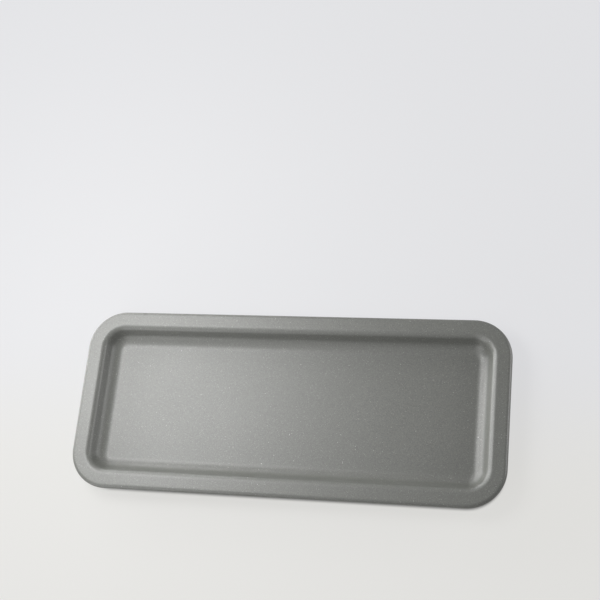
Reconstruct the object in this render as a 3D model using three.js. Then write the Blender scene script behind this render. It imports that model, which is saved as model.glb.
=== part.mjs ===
// Sushi tray: one moulded piece with a flat rim, sloping walls, a flat floor and a foot ring underneath.
// Millimetres, +Z up, X along the length. The origin is the middle of the plane that the tray stands on.

import * as THREE from 'three';

// Outline, seen from above
const trayLength = 330;
const trayWidth = 140;
const cornerRadius = 29;
const leastCornerRadius = 1.5; // kept where a corner drawn parallel to the outline would come out sharper

// Well
const wellDepth = 12;
const wallSlope = 61; // degrees up from the floor
const floorRadius = 10.5; // hollow round between floor and wall
const shoulderRadius = 5.2; // full round between wall and rim

// Rim
const rimWidth = 10; // from the outer edge to where the shoulder starts
const rimThickness = 4;
const rimTopRadius = 2.6;
const rimBottomRadius = 0.7;

// Shell
const wallThickness = 3.5;
const floorThickness = 3.5;
const underRimRadius = 2; // hollow round between the rim's underside and the wall
const heelRadius = 3; // full round between the wall and the underside of the floor

// Foot ring
const footHeight = 1.5;
const footWidth = 4;
const footSetback = 2.6; // from the corner of wall and underside to the foot's outer face
const footDraft = 0.2; // how far each side of the foot leans in over its height
const footRadius = 0.6;

// Facets: the furthest that a chord may lie from its arc
const profileTolerance = 0.03;
const outlineTolerance = 0.05;

// Look
const trayColour = 0x8a8a88;
const trayRoughness = 0.5;

const standPlane = 0;
const underside = standPlane + footHeight;
const floorPlane = underside + floorThickness;
const rimPlane = floorPlane + wellDepth;
const rimUnderside = rimPlane - rimThickness;

const fullTurn = 2 * Math.PI;

// Number of chords that keep an arc of this radius and angle within the tolerance.
function chordCount(radius, angle, tolerance) {
  const step = 2 * Math.acos(1 - Math.min(tolerance / radius, 1));
  return Math.max(1, Math.ceil(angle / step - 1e-9));
}

// Points along a line of corners, each corner rounded by its radius. A radius gives way where two roundings
// would meet on a side that is too short for both.
function roundedLine(corners) {
  const points = corners.map((corner) => new THREE.Vector2(corner.inset, corner.z));
  const last = points.length - 1;
  const turns = points.map(() => 0);
  const reaches = points.map(() => 0);
  for (let i = 1; i < last; i += 1) {
    const arriving = points[i].clone().sub(points[i - 1]).angle();
    const leaving = points[i + 1].clone().sub(points[i]).angle();
    turns[i] = Math.atan2(Math.sin(leaving - arriving), Math.cos(leaving - arriving));
    reaches[i] = corners[i].radius * Math.tan(Math.abs(turns[i]) / 2);
  }
  const shares = points.map(() => 1);
  for (let i = 0; i < last; i += 1) {
    const share = points[i].distanceTo(points[i + 1]) / (reaches[i] + reaches[i + 1]);
    shares[i] = Math.min(shares[i], share);
    shares[i + 1] = Math.min(shares[i + 1], share);
  }
  const line = [points[0]];
  for (let i = 1; i < last; i += 1) {
    const before = points[i].clone().sub(points[i - 1]).normalize();
    const side = Math.sign(turns[i]);
    const radius = corners[i].radius * shares[i];
    const start = points[i].clone().addScaledVector(before, -reaches[i] * shares[i]);
    const towardsCentre = new THREE.Vector2(-before.y, before.x).multiplyScalar(side);
    const centre = start.clone().addScaledVector(towardsCentre, radius);
    const chords = chordCount(radius, Math.abs(turns[i]), profileTolerance);
    for (let k = 0; k <= chords; k += 1) {
      const point = start.clone().rotateAround(centre, (turns[i] * k) / chords);
      if (point.distanceTo(line[line.length - 1]) > 1e-6) line.push(point);
    }
  }
  line.push(points[last]);
  return line;
}

// The moulding's section from the floor, over the rim and back under to the foot. x is the distance in from
// the outer edge and y is the height.
function traySection() {
  const slope = THREE.MathUtils.degToRad(wallSlope);
  const cotangent = 1 / Math.tan(slope);
  const halfTurn = Math.tan(slope / 2);
  const shoulderCorner = rimWidth + shoulderRadius * halfTurn;
  const floorCorner = shoulderCorner + wellDepth * cotangent;
  const floorEdge = floorCorner + floorRadius * halfTurn;
  const wallBack = shoulderCorner - wallThickness / Math.sin(slope);
  const underRimCorner = wallBack + rimThickness * cotangent;
  const heelCorner = wallBack + (rimPlane - underside) * cotangent;
  const footOuter = heelCorner + footSetback;
  const footInner = footOuter + footWidth;
  const undersideEdge = footInner + footRadius;
  return roundedLine([
    { inset: floorEdge, z: floorPlane },
    { inset: floorCorner, z: floorPlane, radius: floorRadius },
    { inset: shoulderCorner, z: rimPlane, radius: shoulderRadius },
    { inset: 0, z: rimPlane, radius: rimTopRadius },
    { inset: 0, z: rimUnderside, radius: rimBottomRadius },
    { inset: underRimCorner, z: rimUnderside, radius: underRimRadius },
    { inset: heelCorner, z: underside, radius: heelRadius },
    { inset: footOuter, z: underside, radius: footRadius },
    { inset: footOuter + footDraft, z: standPlane, radius: footRadius },
    { inset: footInner - footDraft, z: standPlane, radius: footRadius },
    { inset: footInner, z: underside, radius: footRadius },
    { inset: undersideEdge, z: underside },
  ]);
}

// A rounded rectangle parallel to the tray's outline, counter-clockwise, always with the same number of points.
function outlineAt(inset) {
  const radius = Math.max(cornerRadius - inset, leastCornerRadius);
  const centreX = trayLength / 2 - inset - radius;
  const centreY = trayWidth / 2 - inset - radius;
  const quarter = fullTurn / 4;
  const chords = chordCount(cornerRadius, quarter, outlineTolerance);
  const signs = [[1, 1], [-1, 1], [-1, -1], [1, -1]];
  const outline = [];
  signs.forEach(([signX, signY], corner) => {
    for (let k = 0; k <= chords; k += 1) {
      const angle = (corner + k / chords) * quarter;
      const x = signX * centreX + radius * Math.cos(angle);
      const y = signY * centreY + radius * Math.sin(angle);
      outline.push(new THREE.Vector2(x, y));
    }
  });
  return outline;
}

// Carries the section round the outline and closes the floor and the underside with flat faces.
function sweptTray(section) {
  const outlines = section.map((point) => outlineAt(point.x));
  const count = outlines[0].length;
  const positions = [];
  outlines.forEach((outline, ring) => {
    outline.forEach((point) => positions.push(point.x, point.y, section[ring].y));
  });
  const triangles = [];
  for (let ring = 0; ring + 1 < section.length; ring += 1) {
    for (let k = 0; k < count; k += 1) {
      const next = (k + 1) % count;
      const inner = ring * count;
      const outer = inner + count;
      triangles.push(inner + k, outer + k, outer + next);
      triangles.push(inner + k, outer + next, inner + next);
    }
  }
  const lastRing = (section.length - 1) * count;
  THREE.ShapeUtils.triangulateShape(outlines[0], []).forEach(([a, b, c]) => triangles.push(a, b, c));
  THREE.ShapeUtils.triangulateShape(outlines[section.length - 1], []).forEach(([a, b, c]) => {
    triangles.push(lastRing + a, lastRing + c, lastRing + b);
  });
  const geometry = new THREE.BufferGeometry();
  geometry.setAttribute('position', new THREE.Float32BufferAttribute(positions, 3));
  geometry.setIndex(triangles);
  geometry.computeVertexNormals();
  return geometry;
}

function trayBody() {
  const material = new THREE.MeshStandardMaterial({ color: trayColour, roughness: trayRoughness, metalness: 0 });
  const mesh = new THREE.Mesh(sweptTray(traySection()), material);
  mesh.name = 'tray_body';
  return mesh;
}

const sushiTray = new THREE.Group();
sushiTray.add(trayBody());

export default sushiTray;
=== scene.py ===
# A long sushi tray of speckled grey moulded ware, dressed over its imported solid.
import math

import bpy
import numpy as np
from mathutils import Matrix, Vector


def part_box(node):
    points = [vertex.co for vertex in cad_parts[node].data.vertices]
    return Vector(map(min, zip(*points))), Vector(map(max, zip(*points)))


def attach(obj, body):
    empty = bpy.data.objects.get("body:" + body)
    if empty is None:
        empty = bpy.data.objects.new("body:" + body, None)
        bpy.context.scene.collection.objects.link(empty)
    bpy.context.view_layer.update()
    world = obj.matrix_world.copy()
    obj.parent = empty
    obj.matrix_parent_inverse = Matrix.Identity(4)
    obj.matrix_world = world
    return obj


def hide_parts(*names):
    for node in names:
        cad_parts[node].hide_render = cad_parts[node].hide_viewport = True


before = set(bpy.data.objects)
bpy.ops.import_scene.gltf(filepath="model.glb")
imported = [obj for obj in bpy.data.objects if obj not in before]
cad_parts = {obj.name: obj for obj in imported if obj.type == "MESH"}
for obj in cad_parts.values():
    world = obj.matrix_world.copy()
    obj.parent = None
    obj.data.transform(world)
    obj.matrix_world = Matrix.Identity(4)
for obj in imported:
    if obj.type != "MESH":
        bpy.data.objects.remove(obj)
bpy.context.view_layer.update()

trayLow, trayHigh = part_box("tray_body")
print("frame loaded, tray", [round(side, 4) for side in trayHigh - trayLow])


# the tray, in metres; its length, width and height come from the frame
trayShape = {
    "cornerRadius": 0.029,
    "leastCornerRadius": 0.0015,  # kept where a parallel corner would come out sharper
    "wallSlope": 61,              # degrees up from the floor
    "floorRadius": 0.0105,        # hollow round between floor and wall
    "shoulderRadius": 0.0052,     # full round between wall and rim
    "rimWidth": 0.01,             # outer edge to the start of the shoulder
    "rimThickness": 0.004,
    "rimTopRadius": 0.0026,
    "rimBottomRadius": 0.0007,
    "wallThickness": 0.0035,
    "floorThickness": 0.0035,
    "underRimRadius": 0.002,
    "heelRadius": 0.003,
    "footHeight": 0.0015,
    "footWidth": 0.004,
    "footSetback": 0.0026,        # corner of wall and underside to the foot's outer face
    "footDraft": 0.0002,
    "footRadius": 0.0006,
    "flatMargin": 0.0008,         # flat kept before the floor and underside turn into a grid
    "arcSteps": 12,               # steps on each round of the section
    "cornerSteps": 24,            # steps on each corner of the outline
    "longSteps": 48,              # steps along a long straight
    "shortSteps": 20,             # steps along a short straight
    "supportLength": 0.0004,      # short straight that holds the shading at each end of a round
    "spotDigits": 9,              # decimals kept of a turned spot, so that quarter turns come out even
    "edgeSlack": 1e-9,            # an inset below this counts as the outer edge
    "bakeGap": 0.003,             # round and between the two halves of the bake map
}


# Each corner gives way to an arc that starts radius * tan(turn / 2) before it. The arc's points are its
# start turned about its centre by equal shares of the turn. Before and after it comes a short straight,
# which takes at most a third of what is left between two rounds.
def roundedLine(corners, radii, steps, support):
    leg = np.diff(corners, axis=0)
    length = np.linalg.norm(leg, axis=1)
    way = leg / length[:, None]
    before, after = way[:-1], way[1:]
    cross = before[:, 0] * after[:, 1] - before[:, 1] * after[:, 0]
    turn = np.arctan2(cross, (before * after).sum(axis=1))
    reach = radii * np.tan(np.abs(turn) / 2)
    start = corners[1:-1] - before * reach[:, None]
    inward = np.stack([-before[:, 1], before[:, 0]], axis=1) * np.sign(turn)[:, None]
    centre = start + inward * radii[:, None]
    angle = turn[:, None] * np.linspace(0, 1, steps + 1)
    spoke = (start - centre)[:, None, :]
    arcX = spoke[..., 0] * np.cos(angle) - spoke[..., 1] * np.sin(angle)
    arcY = spoke[..., 0] * np.sin(angle) + spoke[..., 1] * np.cos(angle)
    arc = centre[:, None, :] + np.stack([arcX, arcY], axis=-1)
    ends = np.concatenate([[0], reach, [0]])
    free = length - ends[:-1] - ends[1:]  # what is left of each straight between its rounds
    hold = np.minimum(support, free / 3)[:, None, None]
    lead = arc[:, :1] - before[:, None, :] * hold[:-1]
    tail = arc[:, -1:] + after[:, None, :] * hold[1:]
    rounds = np.concatenate([lead, arc, tail], axis=1).reshape(-1, 2)
    return np.concatenate([corners[:1], rounds, corners[-1:]])


# The section runs from the floor up the wall, over the rim and back under to the foot ring. Each row is
# the distance in from the outer edge and the height.
def traySection(shape, height):
    slope = math.radians(shape["wallSlope"])
    run = 1 / math.tan(slope)
    halfTurn = math.tan(slope / 2)
    underside = shape["footHeight"]
    floorHeight = underside + shape["floorThickness"]
    rimUnder = height - shape["rimThickness"]
    shoulder = shape["rimWidth"] + shape["shoulderRadius"] * halfTurn
    floorCorner = shoulder + (height - floorHeight) * run
    floorEdge = floorCorner + shape["floorRadius"] * halfTurn
    wallBack = shoulder - shape["wallThickness"] / math.sin(slope)
    underRim = wallBack + shape["rimThickness"] * run
    heel = wallBack + (height - underside) * run
    footOuter = heel + shape["footSetback"]
    footInner = footOuter + shape["footWidth"]
    footEdge = footInner + shape["footRadius"]
    corners = np.array([
        (floorEdge + shape["flatMargin"], floorHeight),
        (floorCorner, floorHeight),
        (shoulder, height),
        (0, height),
        (0, rimUnder),
        (underRim, rimUnder),
        (heel, underside),
        (footOuter, underside),
        (footOuter + shape["footDraft"], 0),
        (footInner - shape["footDraft"], 0),
        (footInner, underside),
        (footEdge + shape["flatMargin"], underside),
    ])
    names = [
        "floorRadius", "shoulderRadius", "rimTopRadius", "rimBottomRadius", "underRimRadius", "heelRadius",
        "footRadius", "footRadius", "footRadius", "footRadius",
    ]
    radii = np.array([shape[name] for name in names])
    return roundedLine(corners, radii, shape["arcSteps"], shape["supportLength"])


# The way round an outline, anticlockwise from a corner's middle: for each point the corner or side of the
# inner rectangle that it belongs to, from -1 to 1 each way, and its outward direction.
def outlineWays(shape):
    halfCorner = shape["cornerSteps"] // 2
    swing = np.linspace(0, math.pi / 4, halfCorner, endpoint=False)
    spots, angles = [], []
    for side in range(4):
        straight = shape["shortSteps"] if side % 2 else shape["longSteps"]
        travel = np.concatenate([
            -np.ones(halfCorner),
            np.linspace(-1, 1, straight, endpoint=False),
            np.ones(halfCorner),
        ])
        across = -np.ones_like(travel)
        quarter = side * math.pi / 2
        turned = [travel * math.cos(quarter) - across * math.sin(quarter),
                  travel * math.sin(quarter) + across * math.cos(quarter)]
        spots.append(np.stack(np.round(turned, shape["spotDigits"]), axis=1))
        swings = np.concatenate([swing - math.pi / 4, np.zeros(straight), swing])
        angles.append(quarter - math.pi / 2 + swings)
    angle = np.concatenate(angles)
    return np.concatenate(spots), np.stack([np.cos(angle), np.sin(angle)], axis=1)


# A point of a rounded rectangle is its spot times the inner rectangle's half size, plus the corner radius
# times its outward direction. Each inset gives a rectangle parallel to the outer edge.
def trayOutlines(shape, halfSize, inset):
    spot, outward = outlineWays(shape)
    radius = np.maximum(shape["cornerRadius"] - inset, shape["leastCornerRadius"])
    centre = halfSize - (inset + radius)[:, None]
    return spot[None] * centre[:, None, :] + outward[None] * radius[:, None, None]


# The same rings laid flat: the corner radius grows by the length of section from the inmost ring.
def flatRings(shape, halfSize, inset, length):
    spot, outward = outlineWays(shape)
    radius = max(shape["cornerRadius"] - inset, shape["leastCornerRadius"])
    centre = halfSize - (inset + radius)
    return spot[None] * centre + outward[None] * (radius + length)[:, None, None]


# Fills a closed outline with a grid: each point blends the four sides, (1 - v) bottom + v top + (1 - u)
# left + u right, less the same blend of the four corners. It gives the inner points and the grid's vertex
# numbers.
def gridInside(outline, firstNumber, newNumber, longCount, shortCount):
    number = firstNumber + np.arange(len(outline) + 1) % len(outline)
    closed = np.concatenate([outline, outline[:1]])
    cuts = np.cumsum([0, longCount, shortCount, longCount, shortCount])
    sides = [slice(cuts[k], cuts[k + 1] + 1) for k in range(4)]
    bottom, right = closed[sides[0]], closed[sides[1]]
    top, left = closed[sides[2]][::-1], closed[sides[3]][::-1]
    u = np.linspace(0, 1, longCount + 1)[None, :, None]
    v = np.linspace(0, 1, shortCount + 1)[:, None, None]
    points = (1 - v) * bottom + v * top + (1 - u) * left[:, None] + u * right[:, None]
    bottomEnds = (1 - u) * bottom[0] + u * bottom[-1]
    topEnds = (1 - u) * top[0] + u * top[-1]
    points -= (1 - v) * bottomEnds + v * topEnds
    numbers = np.empty((shortCount + 1, longCount + 1), int)
    inner = newNumber + np.arange((shortCount - 1) * (longCount - 1))
    numbers[1:-1, 1:-1] = inner.reshape(shortCount - 1, longCount - 1)
    numbers[0], numbers[-1] = number[sides[0]], number[sides[2]][::-1]
    numbers[:, 0], numbers[:, -1] = number[sides[3]][::-1], number[sides[1]]
    return points[1:-1, 1:-1].reshape(-1, 3), numbers


# Quads between the rows of a grid of vertex numbers, each as corner, next along, next up, next back.
def gridFaces(numbers):
    corners = [numbers[:-1, :-1], numbers[:-1, 1:], numbers[1:, 1:], numbers[1:, :-1]]
    return np.stack(corners, axis=-1).reshape(-1, 4)


# A smooth-shaded piece of the given points and faces, at the origin.
def makeMesh(name, points, faces):
    mesh = bpy.data.meshes.new(name)
    mesh.from_pydata(points.tolist(), [], faces.tolist())
    mesh.polygons.foreach_set("use_smooth", np.ones(len(faces), bool))
    mesh.update()
    piece = bpy.data.objects.new(name, mesh)
    bpy.context.scene.collection.objects.link(piece)
    return piece


# The bake map: the upper side and the underside, parted at the outer edge, laid flat one above the other
# and centred across the map. The underside is turned over, so that both face the same way.
def bakeMap(shape, halfSize, section, points, ringSize):
    steps = np.linalg.norm(np.diff(section, axis=0), axis=1)
    length = np.concatenate([[0], np.cumsum(steps)])
    edge = int(np.argmax(section[:, 0] < shape["edgeSlack"]))
    upper = points[:, :2].copy()
    under = points[:, :2].copy()
    flatUpper = flatRings(shape, halfSize, section[0, 0], length[:edge + 1])
    flatUnder = flatRings(shape, halfSize, section[-1, 0], length[-1] - length[edge:])
    upper[:(edge + 1) * ringSize] = flatUpper.reshape(-1, 2)
    under[edge * ringSize:len(section) * ringSize] = flatUnder.reshape(-1, 2)
    under[:, 0] *= -1
    upperHalf = halfSize - section[0, 0] + length[edge]
    underHalf = halfSize - section[-1, 0] + length[-1] - length[edge]
    gap = shape["bakeGap"]
    tall = 2 * (upperHalf[1] + underHalf[1]) + 3 * gap
    side = max(tall, 2 * max(upperHalf[0], underHalf[0]) + 2 * gap)
    upper = upper / side + [0.5, 1 - (upperHalf[1] + gap) / side]
    under = under / side + [0.5, (underHalf[1] + gap) / side]
    return upper, under, edge


# Each row of the section becomes a ring, its outline at its height, and quads join the rings. Grids fill
# the floor and the underside. Faces of the floor, and those that come before the outer edge, have their
# places on the upper half of the bake map, and all others on the lower half.
def makeTray(shape):
    size = np.array(trayHigh - trayLow)
    halfSize = size[:2] / 2
    section = traySection(shape, size[2])
    outlines = trayOutlines(shape, halfSize, section[:, 0])
    rings, ringSize = outlines.shape[:2]
    heights = np.broadcast_to(section[:, None, 1:], (rings, ringSize, 1))
    ringPoints = np.concatenate([outlines, heights], axis=2)
    numbers = np.arange(rings * ringSize).reshape(rings, ringSize)
    wrapped = np.concatenate([numbers, numbers[:, :1]], axis=1)
    wallFaces = gridFaces(wrapped)[:, ::-1]
    counts = [shape[name] + shape["cornerSteps"] for name in ("longSteps", "shortSteps")]
    floorPoints, floorNumbers = gridInside(ringPoints[0], 0, rings * ringSize, *counts)
    nextNumber = rings * ringSize + len(floorPoints)
    underPoints, underNumbers = gridInside(ringPoints[-1], numbers[-1, 0], nextNumber, *counts)
    floorFaces = gridFaces(floorNumbers)
    faces = np.concatenate([wallFaces, floorFaces, gridFaces(underNumbers)[:, ::-1]])
    points = np.concatenate([ringPoints.reshape(-1, 3), floorPoints, underPoints])
    piece = makeMesh("tray", points, faces)
    upper, under, edge = bakeMap(shape, halfSize, section, points, ringSize)
    number = np.arange(len(faces))
    inFloor = (number >= len(wallFaces)) & (number < len(wallFaces) + len(floorFaces))
    isUpper = np.repeat((number < edge * ringSize) | inFloor, 4)
    corner = faces.reshape(-1)
    places = np.where(isUpper[:, None], upper[corner], under[corner])
    layer = piece.data.uv_layers.new(name="OFBake")
    layer.uv.foreach_set("vector", places.astype(np.float32).reshape(-1))
    return piece


tray = makeTray(trayShape)
print("tray mesh", len(tray.data.polygons), "faces")


# Adds a node to a material or a world. An input is linked if it is a socket, and else set as a value.
def addNode(owner, kind, inputs=None, **settings):
    node = owner.node_tree.nodes.new(kind)
    for name, value in settings.items():
        setattr(node, name, value)
    for name, value in (inputs or {}).items():
        if isinstance(value, bpy.types.NodeSocket):
            owner.node_tree.links.new(value, node.inputs[name])
        else:
            node.inputs[name].default_value = value
    return node


# One step of arithmetic on two values.
def maths(owner, operation, first, second):
    return addNode(owner, "ShaderNodeMath", {0: first, 1: second}, operation=operation).outputs[0]


# The same on vectors.
def vectorMaths(owner, operation, *vectors):
    return addNode(owner, "ShaderNodeVectorMath", dict(enumerate(vectors)), operation=operation).outputs


# Carries a value over from the first range to the second, and holds it at the ends.
def spread(owner, value, fromRange, toRange=(0, 1), **settings):
    return addNode(owner, "ShaderNodeMapRange", {
        "Value": value,
        "From Min": fromRange[0],
        "From Max": fromRange[1],
        "To Min": toRange[0],
        "To Max": toRange[1],
    }, **settings).outputs[0]


colourMix = {"share": 0, "first": 6, "second": 7, "result": 2}  # the mix node's sockets for colours


# The first colour times (1 - share) plus the second times share.
def blend(owner, share, first, second):
    inputs = {colourMix["share"]: share, colourMix["first"]: first, colourMix["second"]: second}
    return addNode(owner, "ShaderNodeMix", inputs, data_type="RGBA").outputs[colourMix["result"]]


# The same for two shaders.
def mixShaders(owner, share, first, second):
    inputs = {0: share, 1: first.outputs[0], 2: second.outputs[0]}
    return addNode(owner, "ShaderNodeMixShader", inputs)


# Soft noise, with blotches of about the given size.
def noise(owner, place, size, detail):
    inputs = {"Vector": place, "Scale": 1 / size, "Detail": detail}
    return addNode(owner, "ShaderNodeTexNoise", inputs).outputs[0]


# A material without nodes as yet.
def newMaterial(name):
    material = bpy.data.materials.new(name)
    material.use_nodes = True
    material.node_tree.nodes.clear()
    return material


# The shader becomes the material's surface.
def finishMaterial(material, shader):
    addNode(material, "ShaderNodeOutputMaterial", {"Surface": shader.outputs[0]})
    return material


# the ware, with lengths in metres and linear colours
wareLook = {
    "grey": (0.112, 0.115, 0.104, 1),
    "cloudGrey": (0.122, 0.125, 0.114, 1),  # the paler end of the soft clouding
    "cloudSize": 0.035,
    "cloudDetail": 2,
    "grainSize": 0.0008,
    "grainDetail": 2,
    "grainRange": (0.8, 1.2),               # the grain scales the grey between these
    "noiseRange": (0.3, 0.7),               # most of the noise lies between these
    "paleSpeck": (0.62, 0.615, 0.59, 1),
    "darkSpeck": (0.035, 0.034, 0.032, 1),
    "darkShare": 0.1,                       # share of the specks that are dark
    "speckEdge": 3,                         # a speck's soft edge is its radius over this
    "speckLayers": [                        # spacing, largest radius, how much rarer the large ones are
        (0.016, 0.00048, 2),
        (0.0017, 0.00026, 6),
        (0.00055, 0.00014, 3),
    ],
    "roughRange": (0.41, 0.43),
    "ior": 1.6,                             # moulding resin
    "skinSize": 0.0009,                     # satin texture that the mould leaves
    "skinDetail": 1,
    "skinHeight": 0.000004,
    "scuffGrey": (0.2, 0.2, 0.196, 1),      # on the foot, where it slides on a table
    "scuffHeight": 0.0005,
}


# A speck is where the surface lies nearer to a scattered point than that point's own radius: the largest
# radius times a random share to a power, so that most specks are small and a few are large. It gives the
# specks' mask and a second random share.
def speckMask(material, place, edge, spacing, largest, power):
    points = addNode(material, "ShaderNodeTexVoronoi", {"Vector": place, "Scale": 1 / spacing}).outputs
    chance = addNode(material, "ShaderNodeSeparateColor", {"Color": points["Color"]}).outputs
    share = maths(material, "POWER", chance["Red"], power)
    radius = maths(material, "MULTIPLY", share, largest / spacing)
    inside = spread(material, points["Distance"], (radius, 0), (0, edge))
    return maths(material, "MINIMUM", inside, 1), chance["Green"]


# The clouding blends two greys and the grain scales them. Specks lie over that, one layer after another,
# and scuffs low on the foot. The roughness follows the clouding, and fine noise gives the skin its bumps.
def speckledWare(look):
    material = newMaterial("speckledWare")
    place = addNode(material, "ShaderNodeTexCoord").outputs["Object"]
    cloud = noise(material, place, look["cloudSize"], look["cloudDetail"])
    grain = noise(material, place, look["grainSize"], look["grainDetail"])
    body = blend(material, cloud, look["grey"], look["cloudGrey"])
    scaling = {"Vector": body, "Scale": spread(material, grain, look["noiseRange"], look["grainRange"])}
    colour = addNode(material, "ShaderNodeVectorMath", scaling, operation="SCALE").outputs[0]
    for layer in look["speckLayers"]:
        mask, chance = speckMask(material, place, look["speckEdge"], *layer)
        isDark = maths(material, "LESS_THAN", chance, look["darkShare"])
        speckColour = blend(material, isDark, look["paleSpeck"], look["darkSpeck"])
        colour = blend(material, mask, colour, speckColour)
    height = addNode(material, "ShaderNodeSeparateXYZ", {"Vector": place}).outputs["Z"]
    low = spread(material, height, (look["scuffHeight"], 0))
    scuff = maths(material, "MULTIPLY", low, cloud)
    colour = blend(material, scuff, colour, look["scuffGrey"])
    skin = addNode(material, "ShaderNodeBump", {
        "Height": noise(material, place, look["skinSize"], look["skinDetail"]),
        "Distance": look["skinHeight"],
    })
    shader = addNode(material, "ShaderNodeBsdfPrincipled", {
        "Base Color": colour,
        "Roughness": spread(material, cloud, look["noiseRange"], look["roughRange"]),
        "IOR": look["ior"],
        "Normal": skin.outputs[0],
    })
    return finishMaterial(material, shader)


tray.data.materials.append(speckledWare(wareLook))
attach(tray, "root")
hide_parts("tray_body")
print("tray finished")


# the stage: a plain pale floor that turns into the backdrop's even tone away from the tray
backdropTone = (0.765, 0.768, 0.789, 1)
floorLook = {
    "size": 8.0,
    "paper": (0.8, 0.8, 0.79, 1),
    "paintedShadePaper": (0.58, 0.58, 0.58, 1),    # painted shade: paper painted darker under the tray, for a deeper shade there
    "frontTone": (0.773, 0.768, 0.747, 1),  # the floor is a little warmer in front of the tray
    "turnRange": (0.06, -0.06),             # across the tray, where the cooler tone turns warmer
    "nearShare": 0.86,                      # the tone's share beside the tray, the rest being lit paper
    "underShare": 0.05,                     # the part of that share that is left under the tray
    "reachRange": (0.2, 0.6),               # beyond the second only the backdrop's tone is seen
    "underInset": (0.001, 0),               # the tray's outline in to the shade's, along and across
    "underFade": 0.003,                     # the width over which the shade begins
}


# Where a ray comes from the camera, or from a glossy or clear surface, the answer is 1.
def seenDirectly(owner):
    rays = addNode(owner, "ShaderNodeLightPath").outputs
    direct = maths(owner, "MAXIMUM", rays["Is Camera Ray"], rays["Is Glossy Ray"])
    return maths(owner, "MAXIMUM", direct, rays["Is Transmission Ray"])


# The outline lies at the corner radius from the rectangle of the corners' centres. A place's distance from
# that rectangle is the length of its unsigned coordinates less the half size, each at least 0. Inside the
# outline the answer rises from 0 to 1 over the fade.
def underTray(material, place, inset, fade):
    radius = trayShape["cornerRadius"]
    along, across = np.array(trayHigh - trayLow)[:2] / 2 - inset - radius
    unsigned = vectorMaths(material, "ABSOLUTE", place)["Vector"]
    past = vectorMaths(material, "SUBTRACT", unsigned, (along, across, 0))["Vector"]
    outside = vectorMaths(material, "MAXIMUM", past, (0, 0, 0))["Vector"]
    distance = vectorMaths(material, "LENGTH", outside)["Value"]
    return spread(material, distance, (radius, radius - fade), interpolation_type="SMOOTHSTEP")


# The floor shows a mix of its tone and of lit paper: the tone's share rises from nearShare to 1 over the
# reach. The tone is the warmer one in front of the tray, less and less so over the same reach. Under the
# tray hardly any of the tone is left, so that the tray's real shadow shows, and the paper there is also
# painted darker: a painted shade that deepens that shadow.
def paleFloor(look):
    half = look["size"] / 2
    points = np.array([(-half, -half, 0), (half, -half, 0), (half, half, 0), (-half, half, 0)])
    floor = makeMesh("paleFloor", points, np.array([(0, 1, 2, 3)]))
    material = newMaterial("palePaper")
    place = addNode(material, "ShaderNodeTexCoord").outputs["Object"]
    across = addNode(material, "ShaderNodeSeparateXYZ", {"Vector": place}).outputs["Y"]
    distance = vectorMaths(material, "LENGTH", place)["Value"]
    share = spread(material, distance, look["reachRange"], (look["nearShare"], 1))
    near = spread(material, distance, look["reachRange"][::-1], interpolation_type="SMOOTHSTEP")
    front = spread(material, across, look["turnRange"], interpolation_type="SMOOTHSTEP")
    warm = maths(material, "MULTIPLY", near, front)
    tone = blend(material, warm, backdropTone, look["frontTone"])
    under = underTray(material, place, look["underInset"], look["underFade"])
    kept = spread(material, under, (0, 1), (1, look["underShare"]))
    toneShare = maths(material, "MULTIPLY", share, kept)
    # painted shade: the paper's colour turns darker under the tray
    paperWithPaintedShade = blend(material, under, look["paper"], look["paintedShadePaper"])
    shown = addNode(material, "ShaderNodeEmission", {"Color": tone})
    paper = addNode(material, "ShaderNodeBsdfDiffuse", {"Color": paperWithPaintedShade})
    shownShare = maths(material, "MULTIPLY", seenDirectly(material), toneShare)
    floor.data.materials.append(finishMaterial(material, mixShaders(material, shownShare, paper, shown)))


paleFloor(floorLook)
print("floor laid")


# the light: soft lamps in metres and watts, all aimed at the tray
lampSetup = [
    {"name": "keyLamp", "at": (-0.26, 0.12, 0.42), "wide": 0.26, "tall": 0.26, "power": 2.2},
    {"name": "backLamp", "at": (-0.55, 0.83, 0.26), "wide": 0.4, "tall": 0.4, "power": 3.65},
    {"name": "leftLamp", "at": (-0.92, 0.39, 0.18), "wide": 0.5, "tall": 0.3, "power": 7.1},
    {"name": "frontLamp", "at": (-0.55, -0.85, 0.22), "wide": 0.5, "tall": 0.4, "power": 3},
    {"name": "upperLamp", "at": (-0.4, -0.45, 0.74), "wide": 0.6, "tall": 0.6, "power": 2.2},
    {"name": "rightLamp", "at": (0.85, 0.3, 0.2), "wide": 0.5, "tall": 0.36, "power": 3.35},
]


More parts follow.
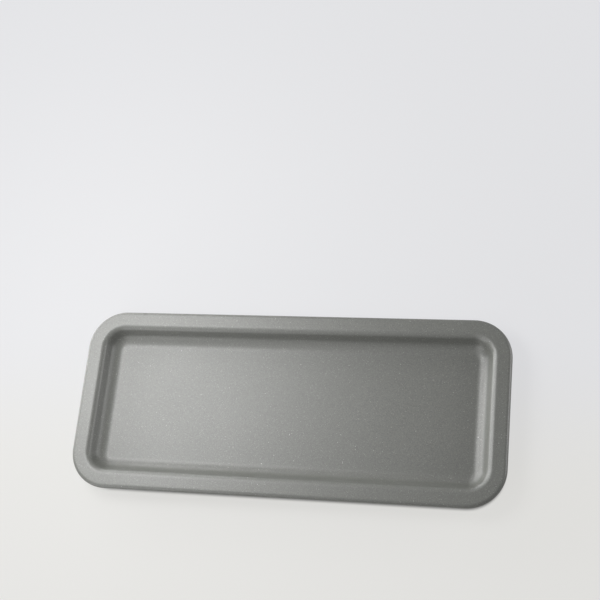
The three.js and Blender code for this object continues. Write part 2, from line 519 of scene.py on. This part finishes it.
# A lamp looks from its place to the origin, so its way is minus its place. The camera doesn't see it.
def studioLamp(setup):
    lamp = bpy.data.lights.new(setup["name"], "AREA")
    lamp.shape = "RECTANGLE"
    lamp.size = setup["wide"]
    lamp.size_y = setup["tall"]
    lamp.energy = setup["power"]
    holder = bpy.data.objects.new(setup["name"], lamp)
    holder.location = setup["at"]
    holder.rotation_mode = "QUATERNION"
    holder.rotation_quaternion = (-Vector(setup["at"])).to_track_quat("-Z", "Y")
    holder.visible_camera = False
    bpy.context.scene.collection.objects.link(holder)


for setup in lampSetup:
    studioLamp(setup)

worldLook = {"fill": (0.02, 0.02, 0.02, 1)}


# The backdrop's tone where it is seen, and elsewhere only a weak fill light.
def studioWorld(look):
    world = bpy.data.worlds.new("studioWorld")
    world.use_nodes = True
    world.node_tree.nodes.clear()
    fill = addNode(world, "ShaderNodeBackground", {"Color": look["fill"]})
    seen = addNode(world, "ShaderNodeBackground", {"Color": backdropTone})
    mix = mixShaders(world, seenDirectly(world), fill, seen)
    addNode(world, "ShaderNodeOutputWorld", {"Surface": mix.outputs[0]})
    bpy.context.scene.world = world


studioWorld(worldLook)
print("lamps and backdrop placed")


# the camera, at the photograph's viewing angle on the tray's face; places in metres
cameraView = {
    "at": (0.2322, -0.2331, 0.9008),
    "aim": (0.0016, 0.0834, 0.0144),
    "up": (-0.0182, 0.9401, 0.3404),
    "lens": 75.66,  # millimetres
    "sensor": 36,
}


# The camera's back axis runs from the aim to its place. Its right axis is square to that and to the up
# direction, and its own up axis is square to both.
def photoCamera(view):
    lens = bpy.data.cameras.new("photoCamera")
    lens.lens = view["lens"]
    lens.sensor_width = view["sensor"]
    holder = bpy.data.objects.new("photoCamera", lens)
    back = (Vector(view["at"]) - Vector(view["aim"])).normalized()
    right = Vector(view["up"]).cross(back).normalized()
    turn = Matrix((right, back.cross(right), back)).transposed().to_4x4()
    holder.matrix_world = Matrix.Translation(view["at"]) @ turn
    bpy.context.scene.collection.objects.link(holder)
    bpy.context.scene.camera = holder


photoCamera(cameraView)
bpy.context.scene.view_settings.view_transform = "Standard"
print("camera placed")
